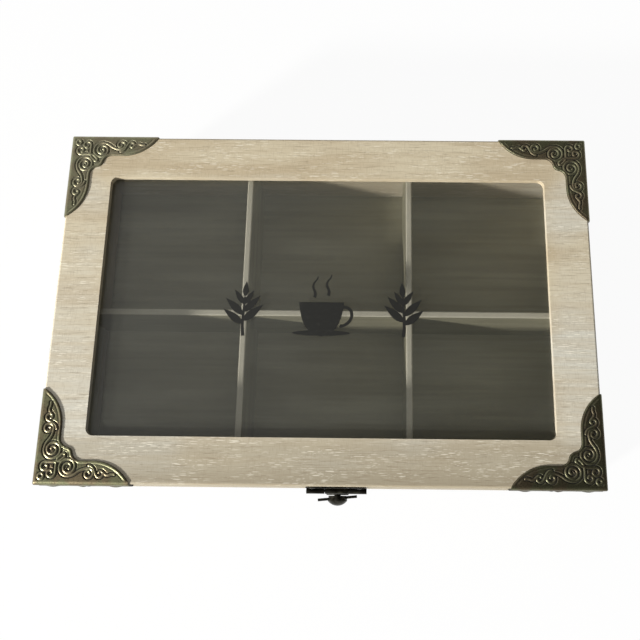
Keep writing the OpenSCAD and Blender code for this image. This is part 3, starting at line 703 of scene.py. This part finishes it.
def corner_relief(points, outline, metal):
    """Height of the relief over the flat sheet, in millimetres."""
    lines = []
    for start, heading, parts in SCROLLS:
        line = arcs(start, heading, parts, 0.05)
        lines += line + [(v, u) for u, v in line]
    lines += arcs(*CORNER_RING, 0.05)
    from_line = nearest(lines, points)
    from_rim = nearest(outline, points)
    rib, groove = metal.rib_width / MM / 2, metal.groove_width / MM
    high, deep = metal.rib_height / MM, metal.groove_depth / MM
    line_up = np.where(from_line < rib, raised_cosine(from_line / rib), 0)
    line_down = raised_cosine((from_line - rib - groove / 2) / (groove / 2))
    rim_up = raised_cosine((from_rim - RIM_AT) / RIM_HALF)
    rim_down = raised_cosine((from_rim - RIM_END - groove / 2) / (groove / 2))
    rolled = np.where(from_rim < EDGE_ROLL, (1 - from_rim / EDGE_ROLL) ** 2, 0)
    down = np.maximum(line_down, rim_down * 0.45) * (line_up < 0.02)
    inside_rim = np.where(from_rim < RIM_END, 0, 1)
    up = np.maximum(line_up, rim_up * 0.6)
    return high * up - deep * down * inside_rim - EDGE_DROP * rolled


def flange_edge(u):
    """Height of a flange's scalloped lower edge below the lid's top."""
    pitch = LEG / 3
    radius = (pitch * pitch / 4 + SCALLOP * SCALLOP) / (2 * SCALLOP)
    from_middle = (np.clip(u, 0, LEG - 1e-6) % pitch) - pitch / 2
    scallop = FLANGE_H - radius + np.sqrt(radius ** 2 - from_middle ** 2)
    return np.maximum(scallop, FLANGE_H - 0.85 * SCALLOP)


def plate_skin(outline, across, metal):
    """The plate on the lid's top: its points, the ones under them, its relief and its faces."""
    step = metal.mesh_step / MM
    bottom = EDGE_R + across * (outline[0][0] - EDGE_R)
    border = [(u, EDGE_R) for u in bottom] + [tuple(p) for p in outline[1:-1]]
    border += [(EDGE_R, u) for u in bottom[:0:-1]]
    # Points on a triangular lattice inside the border
    rows = int(LEG / (step * LATTICE_RISE))
    lattice = np.array([
        (i * step + (j % 2) * step / 2, j * step * LATTICE_RISE)
        for j in range(rows) for i in range(int(LEG / step))
    ])
    lattice = lattice[within(border, lattice)]
    lattice = lattice[nearest(border, lattice) > BORDER_GAP * step]
    flat, faces = fill_outlines([border], lattice)
    from_fold = np.minimum(flat[:, 0], flat[:, 1]) - EDGE_R
    relief = corner_relief(flat, outline, metal) * np.clip(from_fold / FOLD_FADE, 0, 1)
    plate = np.column_stack([flat, SHEET_T + relief])
    under = np.column_stack([flat, np.full(len(flat), SEAT_GAP)])
    return plate, under, relief, faces


def flange_relief(u, down, from_edge, pressed):
    """Height of a flange's relief, and how much of it is boss. Above the flange it is 0."""
    rim = FLANGE_RIM_H * raised_cosine((from_edge - FLANGE_RIM_AT) / FLANGE_RIM_HALF)
    from_nail = raised_cosine(np.hypot(u - NAIL_AT, down - FLANGE_H / 2) / NAIL_SEAT_R)
    from_middle = np.hypot((u % (LEG / 3) - LEG / 6) / BOSS_ALONG, (down - BOSS_DOWN) / BOSS_ACROSS)
    boss = BOSS_H * raised_cosine(from_middle) * (1 - from_nail) * pressed
    border = BORDER_DROP * np.clip(1 - from_edge / LOWER_EASE, 0, 1) ** 2
    return (rim - NAIL_SEAT_H * from_nail + boss - border) * pressed, boss


def flange_rows(end, across):
    """Rows down one leg's rolled edge and flange: outer points, inner points and heights, which carry
    the flanges' painted shade.
    """
    rows = []
    roll = [(math.radians(a), 0.0) for a in ROLL_ANGLES]
    drops = [(math.pi / 2, q) for q in np.linspace(0, 1, FLANGE_ROWS + 1)[1:]]
    for angle, q in roll + drops:
        turned, level = math.sin(angle), math.cos(angle)
        y = EDGE_R - OUTER_R * turned
        inner_y = EDGE_R - (EDGE_R + SEAT_GAP) * turned
        last = end + (LEG - end) * turned
        u = y + across * (last - y)
        edge = flange_edge(u)
        drop = q * (edge - EDGE_R)
        down = EDGE_R - OUTER_R * level + drop
        inner_down = EDGE_R - (EDGE_R + SEAT_GAP) * level + drop
        h, boss = flange_relief(u, down, edge - down, q > 0)
        h = h - BORDER_DROP * np.clip(1 - (last - u) / END_EASE, 0, 1) ** 2 * turned
        h = h * np.clip((u - y) / UPRIGHT_R, 0, 1)
        # The upright edge between the flanges is rounded
        out = u - y
        bend = (1 - np.clip(out, 0, UPRIGHT_R) / UPRIGHT_R) * math.pi / 4
        along = np.where(out < UPRIGHT_R, UPRIGHT_R - UPRIGHT_R * np.sin(bend), out)
        inward = np.where(out < UPRIGHT_R, UPRIGHT_R - UPRIGHT_R * np.cos(bend), 0)
        x_out = y + out + turned * (along - out)
        y_out = y + turned * inward
        inner_u = inner_y + across * (last - inner_y)
        rows.append((
            np.column_stack([x_out, y_out - h * turned, -down]),
            np.column_stack([inner_u, np.full(len(u), inner_y), -inner_down]),
            # The flanges' colour relief is lowered by painted shade, which darkens them
            h - boss - FLANGE_PAINTED_SHADE * ease_in((down - EDGE_R) / 2.0),
        ))
    return rows


def corner_mesh(metal):
    """Points, inner points, relief and faces of one protector, in millimetres from the corner
    of the lid's top, with its legs along +x and +y."""
    step = metal.mesh_step / MM
    outline = corner_inner_outline(step)
    end = outline[0][0]
    columns = round((end - EDGE_R) / (COLUMN_STEP * step))
    # Columns stand closer together near the corner, which is rounded
    across = np.linspace(0, 1, columns + 1) ** COLUMN_CROWD
    plate, under, relief, faces = plate_skin(outline, across, metal)
    rows = flange_rows(end, across)
    points, inner, level = list(map(tuple, plate)), list(map(tuple, under)), list(relief)
    triangles = list(faces)
    first_grid = None
    for mirrored in (False, True):
        grid = []
        for r, (row, inner_row, heights) in enumerate(rows):
            ids = []
            for c in range(columns + 1):
                x, y, z = row[c]
                p, q, w = inner_row[c]
                if mirrored:
                    x, y, p, q = y, x, q, p
                if r == 0:
                    ids.append(int(np.argmin(np.hypot(plate[:, 0] - x, plate[:, 1] - y))))
                elif mirrored and c == 0:
                    ids.append(first_grid[r][0])
                else:
                    ids.append(len(points))
                    points.append((x, y, z))
                    inner.append((p, q, w))
                    level.append(heights[c])
            grid.append(ids)
        first_grid = first_grid or grid
        for upper, lower in zip(grid, grid[1:]):
            for c in range(columns):
                a, b, d, e = upper[c], upper[c + 1], lower[c + 1], lower[c]
                pair = [(a, e, d), (a, d, b)]
                triangles += [(i, k, j) for i, j, k in pair] if mirrored else pair
    return np.array(points), np.array(inner), np.array(level), triangles


def make_corner(name, sx, sy, shape, material):
    """One protector: the common shape, mirrored into its corner of the lid."""
    points, inner, level, triangles = shape
    count = len(points)
    both = np.vstack([points, inner]) * MM
    both[:, 0] = sx * (LID_HIGH.x - both[:, 0])
    both[:, 1] = sy * (LID_HIGH.y - both[:, 1])
    both[:, 2] += LID_HIGH.z
    faces = closed_shell(triangles, count)
    if sx * sy < 0:
        faces = [tuple(reversed(f)) for f in faces]
    piece = make_piece(name, both, faces, material, math.radians(55))
    relief = piece.data.attributes.new("relief", "FLOAT", "POINT")
    relief.data.foreach_set("value", np.concatenate([level, np.full(count, 0.0)]).astype(np.float32))
    return piece


# Operators

def settings():
    return bpy.context.scene.tea_chest


class TEACHEST_OT_wood(bpy.types.Operator):
    """Gives the boards, walls, dividers and beads their wood"""
    bl_idname = "tea_chest.wood"
    bl_label = "Wood"

    def execute(self, context):
        wood = settings().wood
        dress(WOOD_ALONG_X, limed_wood("limed_wood_along_x", "X", wood))
        dress(WOOD_ALONG_Y, limed_wood("limed_wood_along_y", "Y", wood))
        dress(INSIDE_ALONG_X, inside_wood("inside_wood_along_x", "X", wood))
        dress(INSIDE_ALONG_Y, inside_wood("inside_wood_along_y", "Y", wood))
        return {"FINISHED"}


class TEACHEST_OT_corners(bpy.types.Operator):
    """Presses the four corner protectors with their scrolls"""
    bl_idname = "tea_chest.corners"
    bl_label = "Pressed corners"

    def execute(self, context):
        metal = settings().metal
        material = pressed_bronze("pressed_bronze", metal)
        shape = corner_mesh(metal)
        for place, sx, sy in (
            ("front_left", -1, -1), ("front_right", 1, -1), ("back_left", -1, 1), ("back_right", 1, 1),
        ):
            piece = make_corner("pressed_corner_" + place, sx, sy, shape, material)
            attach(piece, "lid")
            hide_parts("corner_" + place)
        return {"FINISHED"}


def nail_seats():
    """Where each nail's head sits and which way it faces, for the lid's nails and the box's."""
    lid, box = [], []
    for node, group in (
        ("corner_nails", lid), ("hinge_nails_lid", lid), ("latch_top_nails", lid),
        ("latch_base_nails", box), ("hinge_nails_box", box),
    ):
        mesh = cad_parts[node].data
        points = np.array([v.co for v in mesh.vertices])
        group += nail_heads(points)
    return lid, box


# No nail is longer than this, and no two are nearer
NAIL_REACH = 6 * MM


def nail_heads(points):
    """Finds each nail of a node: the crown of its head, and the way it faces."""
    heads = []
    left = np.ones(len(points), bool)
    while left.any():
        first = points[np.argmax(left)]
        near = left & (np.linalg.norm(points - first, axis=1) < NAIL_REACH)
        cluster = points[near]
        left &= ~near
        size = cluster.max(0) - cluster.min(0)
        middle = (cluster.max(0) + cluster.min(0)) / 2
        axis = int(np.argmax(size))
        side = math.copysign(1, middle[axis])
        facing = np.zeros(3)
        facing[axis] = side
        crown = middle.copy()
        crown[axis] = (cluster[:, axis] * side).max() * side
        heads.append((crown, facing))
    return heads


def nail_tree(material):
    """Geometry Nodes: a domed head on each point, facing the way its attribute says."""
    tree = bpy.data.node_groups.new("driven_nails", "GeometryNodeTree")
    sockets = {}
    for label, kind in (
        ("Seats", "NodeSocketGeometry"), ("Head Radius", "NodeSocketFloat"),
        ("Head Height", "NodeSocketFloat"), ("Tilt", "NodeSocketFloat"), ("Seed", "NodeSocketInt"),
    ):
        sockets[label] = tree.interface.new_socket(label, in_out="INPUT", socket_type=kind).identifier
    tree.interface.new_socket("Nails", in_out="OUTPUT", socket_type="NodeSocketGeometry")
    net = Net(tree)
    given = tree.nodes.new("NodeGroupInput")
    inputs = {s.name: Value(net, s) for s in given.outputs if s.name}
    ball = net.add("GeometryNodeMeshUVSphere", None, {"Segments": 28, "Rings": 14, "Radius": 1.0})
    scale = net.add("ShaderNodeCombineXYZ", None, {
        0: inputs["Head Radius"], 1: inputs["Head Radius"], 2: inputs["Head Height"],
    })
    head = net.add("GeometryNodeTransform", None, {"Geometry": ball, "Scale": scale})
    facing = net.add(
        "GeometryNodeInputNamedAttribute", {"data_type": "FLOAT_VECTOR"}, {"Name": "facing"},
    )
    upright = net.add("FunctionNodeAlignRotationToVector", {"axis": "Z"}, {"Vector": facing})
    lean = net.add("FunctionNodeRandomValue", {"data_type": "FLOAT_VECTOR"}, {
        0: (-1, -1, -3.0), 1: (1, 1, 3.0), "Seed": inputs["Seed"],
    })
    lean = net.add("ShaderNodeVectorMath", {"operation": "SCALE"}, {0: lean, "Scale": inputs["Tilt"]})
    lean = net.add("FunctionNodeEulerToRotation", None, {0: lean})
    turned = net.add("FunctionNodeRotateRotation", {"rotation_space": "LOCAL"}, {0: upright, 1: lean})
    placed = net.add("GeometryNodeInstanceOnPoints", None, {
        "Points": inputs["Seats"], "Instance": head, "Rotation": turned,
    })
    whole = net.add("GeometryNodeRealizeInstances", None, {"Geometry": placed})
    smooth = net.add("GeometryNodeSetShadeSmooth", None, {"Geometry": whole})
    painted = net.add("GeometryNodeSetMaterial", None, {"Geometry": smooth, "Material": material})
    net.add("NodeGroupOutput", None, {0: painted})
    return tree, sockets


def drive_nails(name, heads, tree, sockets, nails, material):
    """One plain mesh of nail heads, made by the nails' tree."""
    seats = bpy.data.meshes.new(name + "_seats")
    sunk = [tuple(crown - facing * nails.head_height) for crown, facing in heads]
    seats.from_pydata(sunk, [], [])
    directions = seats.attributes.new("facing", "FLOAT_VECTOR", "POINT")
    directions.data.foreach_set("vector", np.array([f for _, f in heads], np.float32).ravel())
    carrier = bpy.data.objects.new(name + "_seats", seats)
    bpy.context.scene.collection.objects.link(carrier)
    modifier = carrier.modifiers.new("Nails", "NODES")
    modifier.node_group = tree
    for label, value in (
        ("Head Radius", nails.head_radius), ("Head Height", nails.head_height),
        ("Tilt", nails.tilt), ("Seed", nails.seed),
    ):
        modifier[sockets[label]] = value
    evaluated = carrier.evaluated_get(bpy.context.evaluated_depsgraph_get())
    mesh = bpy.data.meshes.new_from_object(evaluated)
    bpy.data.objects.remove(carrier)
    if not len(mesh.polygons):
        raise RuntimeError(name + ": the nails' tree made nothing")
    mesh.name = name
    piece = bpy.data.objects.new(name, mesh)
    bpy.context.scene.collection.objects.link(piece)
    return piece


class TEACHEST_OT_nails(bpy.types.Operator):
    """Drives the nails of the corners, hinges and hasp"""
    bl_idname = "tea_chest.nails"
    bl_label = "Nails"

    def execute(self, context):
        chest = settings()
        material = blackened_bronze("nail_bronze", chest.metal)
        tree, sockets = nail_tree(material)
        lid, box = nail_seats()
        for name, heads, body, nodes in (
            ("lid_nails", lid, "lid", ("corner_nails", "hinge_nails_lid", "latch_top_nails")),
            ("box_nails", box, "box", ("latch_base_nails", "hinge_nails_box")),
        ):
            piece = drive_nails(name, heads, tree, sockets, chest.nails, material)
            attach(piece, body)
            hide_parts(*nodes)
        return {"FINISHED"}


class TEACHEST_OT_fittings(bpy.types.Operator):
    """Gives the hinges, the hasp and the turn button their blackened bronze"""
    bl_idname = "tea_chest.fittings"
    bl_label = "Hinges and hasp"

    def execute(self, context):
        material = blackened_bronze("blackened_bronze", settings().metal)
        dress(HINGE_NODES + LATCH_NODES, material)
        return {"FINISHED"}


# The window's motifs, each drawn 1 high about the origin

def leaf(base, heading, size, width=0.34):
    """Outline of a pointed leaf that grows from base."""
    half = []
    for t in np.linspace(0, 1, 15):
        half.append((t, width * math.sin(math.pi * t ** 0.8) * (1 - 0.25 * t) / 2))
    outline = half + [(x, -y) for x, y in reversed(half[1:-1])]
    turn = math.radians(heading)
    c, s = math.cos(turn) * size, math.sin(turn) * size
    return [(base[0] + c * x - s * y, base[1] + s * x + c * y) for x, y in outline]


def ribbon(line, widths):
    """Outline of a stroke along a line, with a width at each end."""
    line = np.asarray(line, float)
    run = np.gradient(line, axis=0)
    side = np.stack([-run[:, 1], run[:, 0]], axis=1) / np.linalg.norm(run, axis=1)[:, None]
    half = np.linspace(widths[0], widths[1], len(line))[:, None] / 2
    return [tuple(p) for p in line + side * half] + [tuple(p) for p in (line - side * half)[::-1]]


def sprig(lean):
    """A tea sprig: a bud, and pairs of leaves on a bent stem."""
    stem = arcs((0.0, -0.5), 90 + 8 * lean, ((1.6, -14 * lean), (2.4, 6 * lean)), 0.05)
    shapes = [ribbon(stem, (0.055, 0.03))]
    for at, turn, size in (
        (0.30, 52, 0.40), (0.36, -50, 0.42), (0.56, 46, 0.40), (0.62, -44, 0.38), (0.80, 34, 0.30),
        (0.84, -32, 0.28),
    ):
        i = int(at * (len(stem) - 1))
        shapes.append(leaf(stem[i], 90 + turn * lean, size))
    shapes.append(leaf(stem[-1], 90 - 4 * lean, 0.26, 0.4))
    return shapes


def steaming_cup():
    """A cup on its saucer, with two wisps of steam."""
    wall = arcs((-0.36, 0.06), -86, ((1.2, 16), (0.36, 70)), 0.04)
    body = wall + [(-x, y) for x, y in reversed(wall)]
    saucer = [(0.46 * math.cos(t), -0.445 + 0.045 * math.sin(t))
              for t in np.linspace(0, 2 * math.pi, 41)[:-1]]
    handle = arcs((0.335, -0.02), 12, ((0.125, -110), (0.2, -80)), 0.02)
    shapes = [body, saucer, ribbon(handle, (0.05, 0.05))]
    for x, lift in ((-0.12, 0.0), (0.1, 0.03)):
        wisp = arcs((x, 0.14 + lift), 62, ((0.12, 60), (0.12, -80), (0.1, 50)), 0.02)
        shapes.append(ribbon(wisp, (0.05, 0.018)))
    return shapes


# The print starts this far above the pane, and each motif stands at its place along it, in mm
PRINT_GAP = 0.002
SPRIG_LEFT_X, CUP_X, SPRIG_RIGHT_X = -36.0, -1.3, 35.3


class TEACHEST_OT_window(bpy.types.Operator):
    """Gives the pane its acrylic and prints the three motifs on it"""
    bl_idname = "tea_chest.window"
    bl_label = "Window"

    def execute(self, context):
        window = settings().window
        dress(("glass_pane",), acrylic_pane("acrylic_pane", window))
        material = printed_ink("printed_ink", window)
        top = PANE_HIGH.z
        for name, shapes, x in (
            ("print_sprig_left", sprig(1), SPRIG_LEFT_X), ("print_cup", steaming_cup(), CUP_X),
            ("print_sprig_right", sprig(-1), SPRIG_RIGHT_X),
        ):
            flat, triangles = fill_outlines(shapes)
            flat = flat * window.motif_height + (x * MM, -window.motif_lift)
            upper = np.column_stack([flat, np.full(len(flat), top + window.ink_thickness)])
            lower = np.column_stack([flat, np.full(len(flat), top + PRINT_GAP * MM)])
            faces = closed_shell(triangles, len(flat))
            piece = make_piece(name, np.vstack([upper, lower]), faces, material)
            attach(piece, "lid")
        return {"FINISHED"}


# Stage

CAMERA_AT = (0.020687, -0.0844153, 0.3824129)
CAMERA_TURNS = (-0.2529, -0.006, -0.0096)
CAMERA_LENS = 42.180
CAMERA_SHIFT = (-0.07214, -0.02303)
KEY_LOW, KEY_TURNED = math.radians(23), math.radians(35)
KEY_FAR = 2.6
KEY_SIZE = 0.26
KEY_COLOUR = (1.0, 0.985, 0.955)
FILL_AT = (0.25, -0.3, 1.4)
FILL_SIZE = 0.9
FLOOR_HALF = 3.0
FLOOR_Z = -0.0002
FLOOR_CLOUD = tone(226, 226, 224)
FLOOR_WHITE = 0.94
WHITE, BLACK = (1.0, 1.0, 1.0), (0.0, 0.0, 0.0)
FAR_SIDE = (0.24, 0.24, 0.24)


def add_lamp(name, at, power, size, colour=(1, 1, 1)):
    lamp = bpy.data.lights.new(name, "AREA")
    lamp.shape = "DISK"
    lamp.size = size
    lamp.energy = power
    lamp.color = colour
    holder = bpy.data.objects.new(name, lamp)
    holder.location = at
    towards = Vector((0, 0, 0.04)) - Vector(at)
    holder.rotation_euler = towards.to_track_quat("-Z", "Y").to_euler()
    bpy.context.scene.collection.objects.link(holder)
    return holder


def looked_at(net):
    """1 where the camera looks straight at it, and 1 where it does so or in a mirror or pane."""
    rays = net.add("ShaderNodeLightPath").socket.node.outputs
    straight, mirrored, through = (
        Value(net, rays[name]) for name in ("Is Camera Ray", "Is Glossy Ray", "Is Transmission Ray")
    )
    return straight, straight.at_least(mirrored).at_least(through)


def make_world(sky):
    """Light from all round, brighter from the left. What the camera sees of it is white."""
    world = bpy.data.worlds.new("studio")
    bpy.context.scene.world = world
    world.use_nodes = True
    net = Net(world.node_tree)
    direction = net.add("ShaderNodeTexCoord", output=0)
    right = on_axis(net, direction, "X")
    side = ease(net, right, -0.32, 0.22)
    studio = blend(net, side, WHITE, FAR_SIDE)
    overhead = ease(net, on_axis(net, direction, "Z"), 0.45, 0.85)
    dim = ease(net, right, -0.2, 0.2, 0.5, 0.86)
    mirrored = blend(net, overhead * dim, studio, BLACK)
    straight, shown = looked_at(net)
    lit = net.add("ShaderNodeBackground", None, {"Color": studio, "Strength": sky})
    backdrop = net.add("ShaderNodeBackground", None, {
        "Color": blend(net, straight, mirrored, WHITE), "Strength": 1.0,
    })
    both = net.add("ShaderNodeMixShader", None, {0: shown, 1: lit, 2: backdrop})
    net.add("ShaderNodeOutputWorld", None, {"Surface": both})


def make_floor(colour):
    """A wide pale floor. Its colour lifts to white where the camera sees it, and keeps the shadow."""
    corners = [(x * FLOOR_HALF, y * FLOOR_HALF, FLOOR_Z)
               for x, y in ((-1, -1), (1, -1), (1, 1), (-1, 1))]
    mesh = bpy.data.meshes.new("floor")
    mesh.from_pydata(corners, [], [(0, 1, 2, 3)])
    material = bpy.data.materials.new("floor")
    material.use_nodes = True
    net = Net(material.node_tree)
    place = object_place(net)
    cloud = marks(net, place, [0.2] * 3, 1.0, 2.0)
    shade = blend(net, ease(net, cloud, 0.3, 0.7, 0.0, 0.3), colour, FLOOR_CLOUD)
    matt = net.add("ShaderNodeBsdfDiffuse", None, {"Color": shade})
    white = net.add("ShaderNodeEmission", None, {"Color": rgba(WHITE), "Strength": 1.0})
    _, shown = looked_at(net)
    surface = net.add("ShaderNodeMixShader", None, {0: shown * FLOOR_WHITE, 1: matt, 2: white})
    net.add("ShaderNodeOutputMaterial", None, {"Surface": surface})
    mesh.materials.append(material)
    floor = bpy.data.objects.new("floor", mesh)
    bpy.context.scene.collection.objects.link(floor)


def make_camera():
    a, b, c = CAMERA_TURNS
    turn = Matrix.Rotation(c, 3, "Z") @ Matrix.Rotation(b, 3, "Y") @ Matrix.Rotation(a, 3, "X")
    data = bpy.data.cameras.new("camera")
    data.sensor_width = 36.0
    data.lens = CAMERA_LENS
    data.shift_x, data.shift_y = CAMERA_SHIFT
    data.clip_start, data.clip_end = 0.01, 20.0
    camera = bpy.data.objects.new("camera", data)
    camera.location = CAMERA_AT
    camera.rotation_euler = turn.transposed().to_euler()
    bpy.context.scene.collection.objects.link(camera)
    bpy.context.scene.camera = camera


class TEACHEST_OT_stage(bpy.types.Operator):
    """Sets the floor, the lights and the camera"""
    bl_idname = "tea_chest.stage"
    bl_label = "Stage"

    def execute(self, context):
        stage = settings().stage
        make_floor(stage.floor)
        make_world(stage.sky)
        flat = KEY_FAR * math.cos(KEY_LOW)
        key_at = (
            -flat * math.cos(KEY_TURNED), -flat * math.sin(KEY_TURNED), KEY_FAR * math.sin(KEY_LOW),
        )
        add_lamp("key", key_at, stage.key_power, KEY_SIZE, KEY_COLOUR)
        fill = add_lamp("fill", FILL_AT, stage.fill_power, FILL_SIZE)
        fill.visible_glossy = False
        make_camera()
        context.scene.view_settings.view_transform = "Standard"
        return {"FINISHED"}


OPERATORS = (
    TEACHEST_OT_wood, TEACHEST_OT_corners, TEACHEST_OT_nails, TEACHEST_OT_fittings,
    TEACHEST_OT_window, TEACHEST_OT_stage,
)


class TEACHEST_PT_panel(bpy.types.Panel):
    """Lists the chest's settings and the steps that dress it"""
    bl_label = "Tea Chest"
    bl_idname = "TEACHEST_PT_panel"
    bl_space_type = "VIEW_3D"
    bl_region_type = "UI"
    bl_category = "Tea Chest"

    def draw(self, context):
        for group in ("wood", "metal", "nails", "window", "stage"):
            values = getattr(context.scene.tea_chest, group)
            box = self.layout.box()
            box.label(text=group.capitalize())
            for name in values.__annotations__:
                box.prop(values, name)
        for operator in OPERATORS:
            self.layout.operator(operator.bl_idname)


CLASSES = (
    WoodSettings, MetalSettings, NailSettings, WindowSettings, StageSettings, TeaChestSettings,
    *OPERATORS, TEACHEST_PT_panel,
)


def register():
    for item in CLASSES:
        bpy.utils.register_class(item)
    bpy.types.Scene.tea_chest = PointerProperty(type=TeaChestSettings)


def unregister():
    del bpy.types.Scene.tea_chest
    for item in reversed(CLASSES):
        bpy.utils.unregister_class(item)


def main():
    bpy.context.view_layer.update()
    register()
    for operator in OPERATORS:
        area, name = operator.bl_idname.split(".")
        getattr(getattr(bpy.ops, area), name)()


if __name__ == "__main__":
    main()
